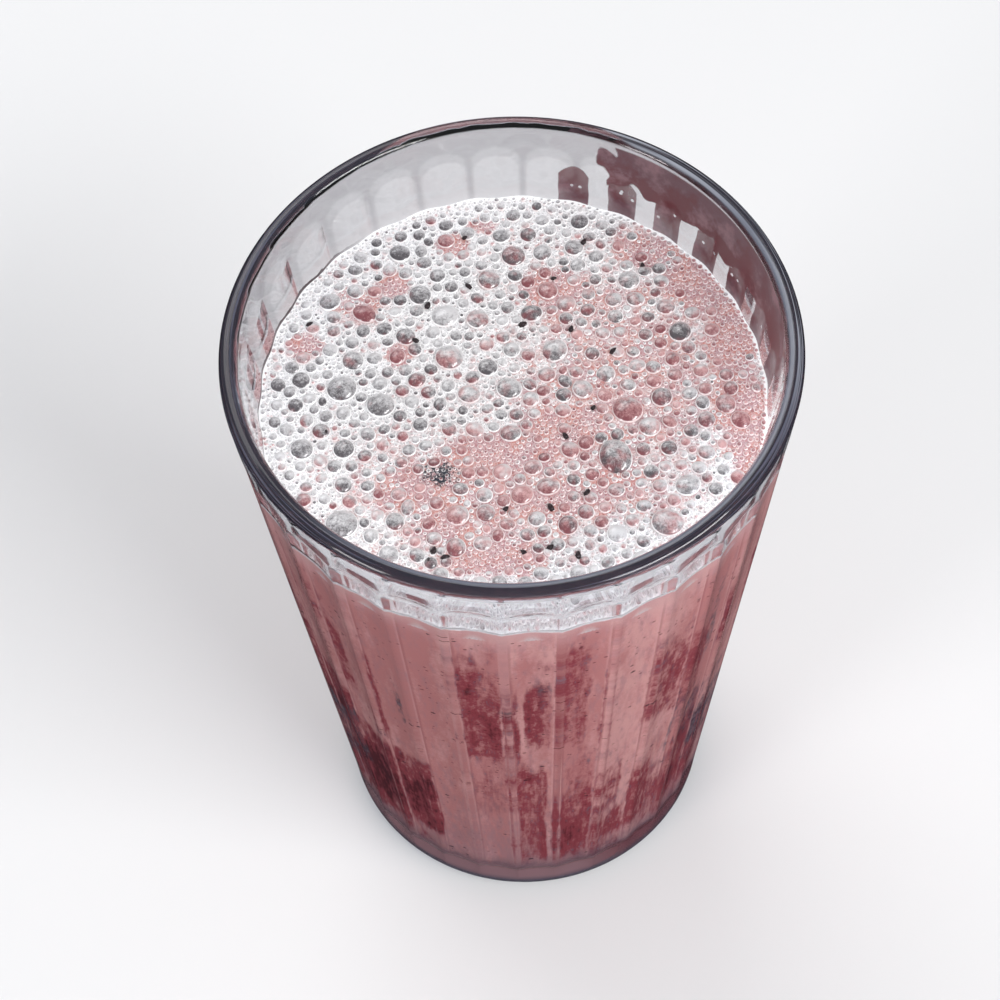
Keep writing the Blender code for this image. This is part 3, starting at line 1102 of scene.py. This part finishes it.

# %% [markdown]
# ## The marbled drink
#
# The smoothie isn't one colour. Milk and fruit have not fully mixed, so dark crimson fields
# hang in the dusty pink, and fine skins and seeds lie against the glass. Each flute is a
# lens that shifts what lies behind it, so the fields break off sharply at the ridges. Those
# at the front are named by their angles from the front and their heights, and a few patches
# of painted slate shade lie among them, most at the left and right sides. A seeded rule gives
# the flutes of the back up to two each.

# %% Crimson fields, flute by flute
FRONT_FIELDS = (
    (-80, -65, 6, 74, 0.75),
    (-64, -53, 6, 64, 0.85),
    (-57, -53, 76, 98, 0.7),
    (-55, -41, 8, 48, 1.1),
    (-52, -47, 56, 90, 0.7),
    (-41, -39, 46, 86, 0.7),
    (-40, -28, 8, 48, 1.05),
    (-16.2, -5, 50, 96, 0.66),
    (-16.2, -4, 24, 56, 0.34),
    (-4, -2.2, 50, 88, 0.6),
    (-0.5, 7, 54, 89, 0.62),
    (-0.5, 7.5, 82, 94, 0.3),
    (-4, 6, 4, 54, 0.72),
    (8, 15.5, 52, 101, 0.52),
    (9, 19, 36, 58, 0.42),
    (8, 19.5, 4, 46, 0.78),
    (19.3, 20.6, 50, 91, 0.5),
    (20, 27.5, 22, 47, 0.62),
    (20, 31.5, 3, 28, 0.68),
    (31.5, 32.7, 48, 83, 0.5),
    (31.5, 38, 9, 44, 0.66),
    (32.5, 43.8, 50, 89, 0.56),
    (44, 51, 46, 86, 0.52),
    (46, 55, 8, 54, 0.72),
    (57, 61, 56, 88, 0.62),
    (56, 66, 6, 48, 0.72),
    (19.5, 44, 2, 26, 0.40),
    (36, 68, 2, 38, 0.46),
)
FIELD_FADE = 9.0
# Painted slate shade on the drink, most of it at the left and right sides.
SLATE_SHADE_FIELDS = (
    (-80, -60, 18, 46, 0.8),
    (-58, -53, 26, 54, 0.55),
    (-32.8, -30.2, 58, 78, 0.9),
    (-6, -2.2, 72, 76, 0.9),
    (3, 8.5, 76, 88, 0.45),
    (16, 22, 44, 58, 0.35),
    (43, 55, 34, 60, 0.5),
    (55, 60, 18, 52, 0.75),
    (64, 72, 14, 50, 0.6),
    (50, 53, 60, 98, 0.5),
)
BACK_SEED = 8
BACK_FLUTES = range(6, FLUTE_COUNT - 7)
BACK_SPANS = ((8, 46), (50, 94))
BACK_SHARE = 0.7
FLUTE_ANGLE = 360.0 / FLUTE_COUNT


def back_fields():
    """Up to two fields, a low and a high one, in each flute that the front doesn't show."""
    draw = random.Random(BACK_SEED)
    fields = []
    for flute in BACK_FLUTES:
        start = math.degrees(FIRST_RIDGE) + 90.0 + flute * FLUTE_ANGLE
        for low, high in BACK_SPANS:
            bottom, top = low + draw.uniform(0, 10), high - draw.uniform(0, 14)
            left = start + draw.uniform(0.4, 4.0)
            right = start + FLUTE_ANGLE - draw.uniform(0.4, 4.0)
            strength = draw.uniform(0.3, 1.0)
            if draw.random() < BACK_SHARE:
                fields.append((left, right, bottom, top, strength))
    return fields


def fields_at(points, fields):
    """Share of the fields, 0 to 1, on the drink's skin: sharp sides, frayed ends."""
    turn = np.degrees(np.arctan2(points[:, 1], points[:, 0])) + 90.0
    height = points[:, 2] / MM
    unrolled = np.column_stack([turn * 0.6, height])
    edge = fray(unrolled, 0.35, 21) * 4.0 + fray(unrolled, 1.3, 22) * 2.4
    share = np.zeros(len(points))
    for left, right, bottom, top, strength in fields:
        off = (turn - (left + right) / 2 + 180.0) % 360.0 - 180.0
        off = off + fray(unrolled, 0.5, 23) * 0.6
        beside = np.clip((right - left) / 2 - np.abs(off) + 0.5, 0.0, 1.0)
        from_end = (top - bottom) / 2 - np.abs(height - (top + bottom) / 2) + edge
        above = np.clip(from_end / FIELD_FADE, 0.0, 1.0)
        share = np.maximum(share, beside * above * strength)
    return share


crimson_fields = list(FRONT_FIELDS) + back_fields()
store(drink.data, "crimson", fields_at(points_of(drink.data), crimson_fields))
store(drink.data, "slate", fields_at(points_of(drink.data), SLATE_SHADE_FIELDS))
print("smoothie has", len(crimson_fields), "crimson fields")

# %% [markdown]
# The finish reads those shares. Noise that is sampled through the same flute lenses breaks
# up both the pink and the crimson, and flat dark specks stand for skins and sunken seeds.

# %% The smoothie's finish
SLATE_BLUSH = (0.30, 0.25, 0.30)
SLATE_BLUE = (0.16, 0.14, 0.17)
SLATE_DARK = (0.045, 0.045, 0.065)
FOOT_SHADE = (0.14, 0.11, 0.15)
CRIMSON = (0.33, 0.055, 0.07)
MAROON = (0.11, 0.012, 0.018)
SPECK = (0.035, 0.012, 0.018)


def smoothie_finish():
    """Dusty pink milk drink with crimson fields, mottling and specks, painted slate shade, and painted
    shade towards the foot.
    """
    skin = Finish("marbled_smoothie", Roughness=0.45, IOR=1.36)
    seen = seen_through_flutes(skin)
    height, broad, blot, fine = seen.height, seen.broad, seen.blot, seen.fine
    milky = milky_pink(skin, seen)
    near = skin.step(height, 25.0 * MM, 60.0 * MM, 0.5, 1.0)
    noise = (broad - 0.5) * 1.7 + (blot - 0.5) * 1.3 + (seen.streak - 0.5) * 0.4
    noise = noise + ((fine - 0.5) * 1.1 + (seen.stroke - 0.5) * 0.8) * near
    patchy = skin.attribute("crimson") * (1.0 + noise * 1.1) + noise * 0.30
    rosy = skin.mix(skin.step(patchy, 0.04, 0.80), milky, CRIMSON)
    cool = skin.step(blot * 0.6 + fine * 0.4, 0.54, 0.66) * skin.step(patchy, 0.2, 0.5)
    cooled = skin.mix(cool * 0.55, rosy, SLATE_BLUSH)
    marbled = skin.mix(skin.step(patchy, 0.80, 1.35), cooled, MAROON)
    # Painted slate shade where the slate shares lie.
    slate = skin.step(skin.attribute("slate") * (1.0 + noise * 1.6) + noise * 0.3, 0.08, 0.95)
    slated = skin.mix(skin.step(seen.stroke, 0.45, 0.55), SLATE_DARK, SLATE_BLUE)
    marbled = skin.mix(slate * 0.85, marbled, slated)
    # Painted shade: the drink darkens to slate mauve towards the foot.
    low = 1.0 - skin.step(height + (broad - 0.5) * (6.0 * MM), 5.0 * MM, 12.0 * MM)
    marbled = skin.mix(low * 0.6, marbled, FOOT_SHADE)
    flat = skin.node("ShaderNodeMapping", None, skin.place, Scale=(1.0, 1.0, 1.7))
    spots = skin.spots(flat, 330.0)
    chance = skin.node("ShaderNodeSeparateColor", None, spots.out("Color"))
    size = 0.05 + chance.out("Green") * 0.12
    ragged = spots + (fine - 0.5) * 0.12
    mark = (ragged.math("LESS_THAN", size)) * chance.math("GREATER_THAN", 0.72)
    grains = skin.spots(flat, 780.0)
    draw = skin.node("ShaderNodeSeparateColor", None, grains.out("Color"))
    grain = (grains + (fine - 0.5) * 0.2).math("LESS_THAN", draw.out("Green") * 0.26)
    dotted = skin.mix(grain * draw.math("GREATER_THAN", 0.55) * near * 0.7, marbled, MAROON)
    skin.feed(Base_Color=skin.mix(mark * 0.8, dotted, SPECK))
    return skin.material


marbled_smoothie = smoothie_finish()
drink.data.materials.append(marbled_smoothie)
print("smoothie finish has", len(marbled_smoothie.node_tree.nodes), "nodes")

# %% [markdown]
# ## Clear glass with a slate edge
#
# Soda-lime glass looks clear through a thin wall and slate blue through a thick foot.
# Absorption in the volume gives some of that tint. The rest is painted shade: an opaque
# coat on the outside of the foot, dark slate low down and darkened mauve and brown above.
# The round lip bends light so far that it shows only the dark inside of its own wall, drawn
# out into fine lines along the rim, so that darkness is painted there as a dark glossy slate.
# The hollows of the flutes are a little paler than their ridges, and at the upper back the
# wall is painted grey as shade, its lobes less than its ridges. On one side a maroon band
# with tongues running down from it is painted on the inner wall, as a painted view of a dark
# backdrop through the glass. Opposite, a fine dark shadow line is painted where the froth
# meets the wall.

# %% Where the painted lip, the ridges, the painted backdrop and the painted shadow line are
LIP_DEPTH_FRONT = 0.65 * MM
LIP_DEPTH_SIDE = 1.5 * MM
LIP_INNER_EDGE = 38.6 * MM
LIP_INNER_EDGE_BACK = 40.1 * MM
LIP_PALE_LINE = 39.25 * MM
EDGE_BLUR = 0.2 * MM
BACKDROP_START = math.radians(-6.0)
BACKDROP_END = math.radians(67.0)
BACKDROP_LAST_TONGUE = math.radians(78.0)
BACKDROP_BOTTOM = 108.7 * MM
BACKDROP_TOP = HEIGHT - 1.2 * MM


def lip_share(tree, y, radius, height):
    """Where the lip's darkness is painted: its crown, less of its outer side in front, less of its
    inner at the back.
    """
    back = tree.step(y, 33.0 * MM, 38.5 * MM, 0.0, LIP_INNER_EDGE_BACK - LIP_INNER_EDGE)
    over = (radius - back) - LIP_INNER_EDGE
    depth = tree.step(y, -38.0 * MM, -22.0 * MM, LIP_DEPTH_FRONT, LIP_DEPTH_SIDE)
    above = (height + depth) - HEIGHT
    outside = 1.0 - tree.node("ShaderNodeNewGeometry").out("Backfacing")
    return outside * tree.step(over, -EDGE_BLUR, EDGE_BLUR) * tree.step(above, -EDGE_BLUR, EDGE_BLUR)


def on_inner_wall(tree, radius, height):
    """1 on the inner side of the middle of the wall, 0 outside."""
    skin = height * WALL_TAPER + MID_WALL_AT_FOOT
    return 1.0 - tree.step(radius - skin, -EDGE_BLUR, EDGE_BLUR)


def painted_backdrop_share(tree, turn, across, radius, height):
    """Where the dark backdrop is painted: a band under the lip on one side, and tongues down its
    ridges to the froth.
    """
    inner = on_inner_wall(tree, radius, height)
    wander = tree.clouds(tree.place, 230.0, 1.5, 0.5) - 0.5
    astray = turn + wander * 0.30
    start = tree.step(astray, BACKDROP_START, BACKDROP_START + 0.1)
    band_side = start * (1.0 - tree.step(astray, BACKDROP_END, BACKDROP_END + 0.02))
    tongue_side = start * (1.0 - tree.step(turn, BACKDROP_LAST_TONGUE, BACKDROP_LAST_TONGUE + 0.01))
    band = tree.step(height + wander * (5.0 * MM) - BACKDROP_BOTTOM, -EDGE_BLUR, EDGE_BLUR)
    aside = 1.0 - across.math("ABSOLUTE")
    over_band = (height - BACKDROP_BOTTOM).math("MAXIMUM", 0.0) * 220.0
    tongue = 1.0 - tree.step(aside * aside - wander * 0.3 + over_band, 0.33, 0.39)
    drops = tree.spots(tree.place, 800.0)
    chance = tree.node("ShaderNodeSeparateColor", None, drops.out("Color"))
    round_drop = 1.0 - tree.step(drops, 0.18, 0.26)
    high_up = tree.step(height, 105.0 * MM, 107.0 * MM)
    open_drop = round_drop * chance.math("GREATER_THAN", 0.62) * high_up
    tongue = tongue * (1.0 - open_drop) * (0.9 + wander * 0.8)
    under_lip = 1.0 - tree.step(height - BACKDROP_TOP, -EDGE_BLUR, EDGE_BLUR)
    return inner * under_lip * (band * band_side).math("MAXIMUM", tongue * tongue_side)


def shadow_line_share(tree, x, radius, height):
    """A painted fine dark shadow line on the inner wall, where the froth ends on the left."""
    inner = on_inner_wall(tree, radius, height)
    ragged = tree.clouds(tree.place, 900.0, 2.0) * (0.7 * MM)
    above = tree.step(height, FROTH_CONTACT - 0.1 * MM, FROTH_CONTACT)
    below = 1.0 - tree.step(height - ragged, FROTH_CONTACT + 0.15 * MM, FROTH_CONTACT + 0.3 * MM)
    left = 1.0 - tree.step(x, -29.0 * MM, -20.0 * MM)
    return inner * above * below * left * 0.95


# %% Colours of the glass and of the light and shade painted on it
GLASS_CLEAR = (0.95, 0.95, 0.955)
GLASS_RIDGE = (0.90, 0.90, 0.91)
GLASS_LOBE_SHADE = (0.76, 0.755, 0.765)
GLASS_BACK_SHADE = (0.58, 0.57, 0.585)
BACK_FROM, BACK_FULL = -12.0 * MM, 10.0 * MM
UPPER_FROM, UPPER_FULL = 100.0 * MM, 104.0 * MM
FOOT_TINT_FULL, FOOT_TINT_FROM = 1.6 * MM, 4.6 * MM
FOOT_SLATE = (0.36, 0.37, 0.45)
DARK_FOOT_SLATE = (0.085, 0.075, 0.105)
FOOT_MAUVE = (0.28, 0.155, 0.175)
FOOT_BROWN = (0.18, 0.062, 0.078)
DARK_FOOT_TO, DARK_FOOT_UPPER_FROM = 2.0 * MM, 4.6 * MM
DARK_FOOT_MAUVE_TO, DARK_FOOT_BROWN_FROM = 6.0 * MM, 18.0 * MM
BACKDROP_ROSE = (0.12, 0.047, 0.062)
BACKDROP_MAROON = (0.11, 0.012, 0.020)
BACKDROP_PALE = (0.32, 0.17, 0.195)
LIP_DARK = (0.020, 0.020, 0.031)
LIP_LINES = (0.085, 0.092, 0.13)
LIP_SLATE = (0.16, 0.175, 0.22)
LIP_LINES_LIT = (0.36, 0.38, 0.43)
LIP_LIT_FROM, LIP_LIT_FULL = 16.0 * MM, 52.0 * MM
LIP_PALE_FROM, LIP_PALE_FULL = -8.0 * MM, 22.0 * MM


def wall_tint(clear, y, across, height):
    """Clear glass with ridges a little darker, painted grey shade with paler lobes at the upper back,
    slate at the foot.
    """
    end = ((height - FLUTE_SHOULDER) / (FLUTE_CREST - FLUTE_SHOULDER)).math("MAXIMUM", 0.0)
    scoop = 1.0 - across * across - end * end
    # Painted shade at the upper back: the wall is greyed, its lobes less than its ridges.
    painted_back_shade = clear.step(y, BACK_FROM, BACK_FULL) * clear.step(height, UPPER_FROM, UPPER_FULL)
    ridge = clear.mix(painted_back_shade, GLASS_RIDGE, GLASS_BACK_SHADE)
    lobe = clear.mix(painted_back_shade, GLASS_CLEAR, GLASS_LOBE_SHADE)
    wall = clear.mix(clear.step(scoop, 0.05, 0.40), ridge, lobe)
    foot = 1.0 - clear.step(height, FOOT_TINT_FULL, FOOT_TINT_FROM)
    return clear.mix(foot, wall, FOOT_SLATE)


def painted_backdrop_colour(clear, height):
    """Painted backdrop colour: rose, maroon near the lower edge of the band, and pale in cloudy
    patches.
    """
    from_edge = (height - (BACKDROP_BOTTOM + 0.6 * MM)).math("ABSOLUTE") * 50.0
    cloud = clear.clouds(clear.place, 210.0, 4.0, 0.65)
    backdrop = clear.mix(clear.step(cloud - from_edge, 0.20, 0.44), BACKDROP_ROSE, BACKDROP_MAROON)
    return clear.mix((1.0 - clear.step(cloud, 0.30, 0.50)) * 0.55, backdrop, BACKDROP_PALE)


def dark_foot_colour(clear, x, height):
    """Painted shade on the foot: dark slate at the very foot, above it darkened mauve on the left and
    brown on the right.
    """
    upper = clear.mix(clear.step(x, DARK_FOOT_MAUVE_TO, DARK_FOOT_BROWN_FROM), FOOT_MAUVE, FOOT_BROWN)
    return clear.mix(clear.step(height, DARK_FOOT_TO, DARK_FOOT_UPPER_FROM), DARK_FOOT_SLATE, upper)


def lip_colour(clear, x, y, radius, height):
    """Painted darkness of the lip: near-black slate with fine lines along the rim, the lines painted
    paler towards the right back, and a painted paler inner edge in front.
    """
    down = (height - radius) * 2400.0
    along = clear.node("ShaderNodeCombineXYZ", None, x * 30.0, y * 30.0, down)
    streak = clear.step(clear.clouds(along, 1.0, 2.0), 0.52, 0.66)
    lines = clear.mix(clear.step(x + y, LIP_LIT_FROM, LIP_LIT_FULL), LIP_LINES, LIP_LINES_LIT)
    dark = clear.mix(streak, LIP_DARK, lines)
    inner = 1.0 - clear.step(radius, LIP_PALE_LINE - EDGE_BLUR, LIP_PALE_LINE + EDGE_BLUR)
    inner = inner * clear.step(x - y, LIP_PALE_FROM, LIP_PALE_FULL)
    return clear.mix(inner, dark, LIP_SLATE)


# %% Glass finish
DARK_FOOT_FULL, DARK_FOOT_TOP = 6.8 * MM, 10.5 * MM
BACKDROP_COVER, DARK_FOOT_COVER, LIP_COVER = 0.95, 0.92, 0.93
SHADOW_LINE_DARK = (0.035, 0.010, 0.014, 1.0)
SHADOW_TINT = (0.86, 0.87, 0.88, 1.0)
DEPTH_TINT = (0.55, 0.58, 0.68, 1.0)
DEPTH_DENSITY = 45.0


def layer(tree, under, share, colour, **fixed):
    """Lay an opaque glossy coat over a surface where share is 1."""
    coat = tree.node("ShaderNodeBsdfPrincipled", None, colour, **fixed)
    return tree.node("ShaderNodeMixShader", None, share, under, coat)


def let_lamps_through(clear, surface):
    """Only shadow rays pass straight through, and the glass gets its tint in depth."""
    shadow = clear.node("ShaderNodeLightPath").out("Is Shadow Ray")
    through = clear.node("ShaderNodeBsdfTransparent", None, SHADOW_TINT)
    mixed = clear.node("ShaderNodeMixShader", None, shadow, surface, through)
    depth = clear.node("ShaderNodeVolumeAbsorption", None, DEPTH_TINT, DEPTH_DENSITY)
    output = clear.tree.nodes["Material Output"]
    clear.tree.links.new(mixed.socket, output.inputs["Surface"])
    clear.tree.links.new(depth.socket, output.inputs["Volume"])


def glass_finish():
    """Smooth clear glass with the painted backdrop, the painted dark foot, the painted shadow line and
    the painted dark lip laid over it in turn.
    """
    clear = Finish("pressed_glass", Roughness=0.0, IOR=1.5, Transmission_Weight=1.0)
    axes = clear.node("ShaderNodeSeparateXYZ", None, clear.place)
    x, y, height = axes, axes.out("Y"), axes.out("Z")
    radius = (x * x + y * y).math("SQRT")
    turn = y.math("ARCTAN2", x)
    across = ((turn - FIRST_RIDGE) * (FLUTE_COUNT / math.tau)).math("FRACT") * 2.0 - 1.0
    clear.feed(Base_Color=wall_tint(clear, y, across, height))
    clear.bump(clear.clouds(clear.place, 70.0, 1.0), 0.12, 0.6 * MM)
    surface = Wire(clear, clear.shader.outputs["BSDF"])
    # Painted view of a dark backdrop through the glass, as an opaque coat on the inner wall.
    backdrop_seen = painted_backdrop_share(clear, turn, across, radius, height) * BACKDROP_COVER
    surface = layer(clear, surface, backdrop_seen, painted_backdrop_colour(clear, height), Roughness=0.4)
    outside = 1.0 - clear.node("ShaderNodeNewGeometry").out("Backfacing")
    # Painted shade on the outside of the foot, as an opaque dark coat.
    dark_foot = (1.0 - clear.step(height, DARK_FOOT_FULL, DARK_FOOT_TOP)) * outside * DARK_FOOT_COVER
    surface = layer(clear, surface, dark_foot, dark_foot_colour(clear, x, height), Roughness=0.2)
    # Painted shadow line where the froth meets the wall on the left.
    shadow_line = shadow_line_share(clear, x, radius, height)
    surface = layer(clear, surface, shadow_line, SHADOW_LINE_DARK, Roughness=0.3)
    # Painted darkness of the lip, where its bending shows only the dark inside of the wall.
    lip = lip_share(clear, y, radius, height) * LIP_COVER
    slate = lip_colour(clear, x, y, radius, height)
    surface = layer(clear, surface, lip, slate, Roughness=0.07, Specular_IOR_Level=0.35)
    let_lamps_through(clear, surface)
    return clear.material


pressed_glass = glass_finish()
glass.data.materials.append(pressed_glass)
print("glass finish ready")

# %% [markdown]
# ## Studio
#
# The drink stands on a plain pale floor. A large soft lamp behind lights the far sides of
# the bubbles, which are painted paler as well. A small one at the front right puts a sparkle
# on each bubble, draws the long white streak on the rim and lights the drink's side. Glass
# shows its edges only against something dark, so its reflections see a slate ground below
# the horizon, while everything seen through the glass is still the pale floor.

# %% Floor, lamps and surround
FLOOR_SIZE = 6.0
FLOOR_PALE = (0.84, 0.84, 0.84)
FLOOR_GREY = (0.80, 0.80, 0.80)
SKY = (0.93, 0.95, 1.0)
GROUND = (0.035, 0.038, 0.05)
HORIZON_BLUR = 0.08
SKY_STRENGTH = 0.41
LAMPS = (
    ("back_lamp", (-0.35, 0.75, 0.85), (0, 0, 0.1), 0.9, 0.7, 5.4),
    ("front_lamp", (0.68, -0.52, 0.82), (0, 0, 0.08), 0.7, 0.25, 9.0),
    ("left_lamp", (-0.75, -0.60, 0.55), (0, 0, 0.06), 0.3, 0.3, 3.0),
)


def make_floor():
    """One wide plain sheet, just under the foot."""
    mesh = bpy.data.meshes.new("floor")
    half = FLOOR_SIZE / 2
    corners = [(-half, -half, 0.0), (half, -half, 0.0), (half, half, 0.0), (-half, half, 0.0)]
    mesh.from_pydata(corners, [], [(0, 1, 2, 3)])
    made = link("floor", mesh)
    pale = Finish("pale_floor", Roughness=0.6)
    pale.feed(Base_Color=pale.mix(pale.clouds(pale.place, 4.0), FLOOR_GREY, FLOOR_PALE))
    mesh.materials.append(pale.material)
    made.visible_glossy = False
    return made


def lamp(name, place, aim, wide, tall, power):
    """A white rectangular soft lamp at a place, aimed at a point."""
    data = bpy.data.lights.new(name, "AREA")
    data.shape = "RECTANGLE"
    data.size, data.size_y = wide, tall
    data.energy = power
    made = link(name, data)
    made.location = place
    made.rotation_euler = (Vector(aim) - Vector(place)).to_track_quat("-Z", "Y").to_euler()


def make_surround():
    """Pale sky above the horizon, dark slate below it."""
    world = bpy.data.worlds.new("surround")
    world.use_nodes = True
    air = Tree(world.node_tree)
    up = air.node("ShaderNodeSeparateXYZ", None, air.node("ShaderNodeTexCoord")).out("Z")
    shade = air.mix(air.step(up, -HORIZON_BLUR, HORIZON_BLUR), GROUND, SKY)
    background = world.node_tree.nodes["Background"]
    world.node_tree.links.new(shade.socket, background.inputs["Color"])
    background.inputs["Strength"].default_value = SKY_STRENGTH
    return world


floor = make_floor()
for values in LAMPS:
    lamp(*values)
bpy.context.scene.world = make_surround()
bpy.context.scene.view_settings.view_transform = "Standard"
print("studio ready")

# %% [markdown]
# ## Riding with the frame
#
# Every piece moves with the one body, and the imported nodes that the pieces stand for are
# hidden. The floor is only the stage.

# %% Ride and replace
for piece in [glass, drink] + froth_pieces:
    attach(piece, "root")
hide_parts("glass")
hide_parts("smoothie")
for piece in froth_pieces:
    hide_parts("froth")
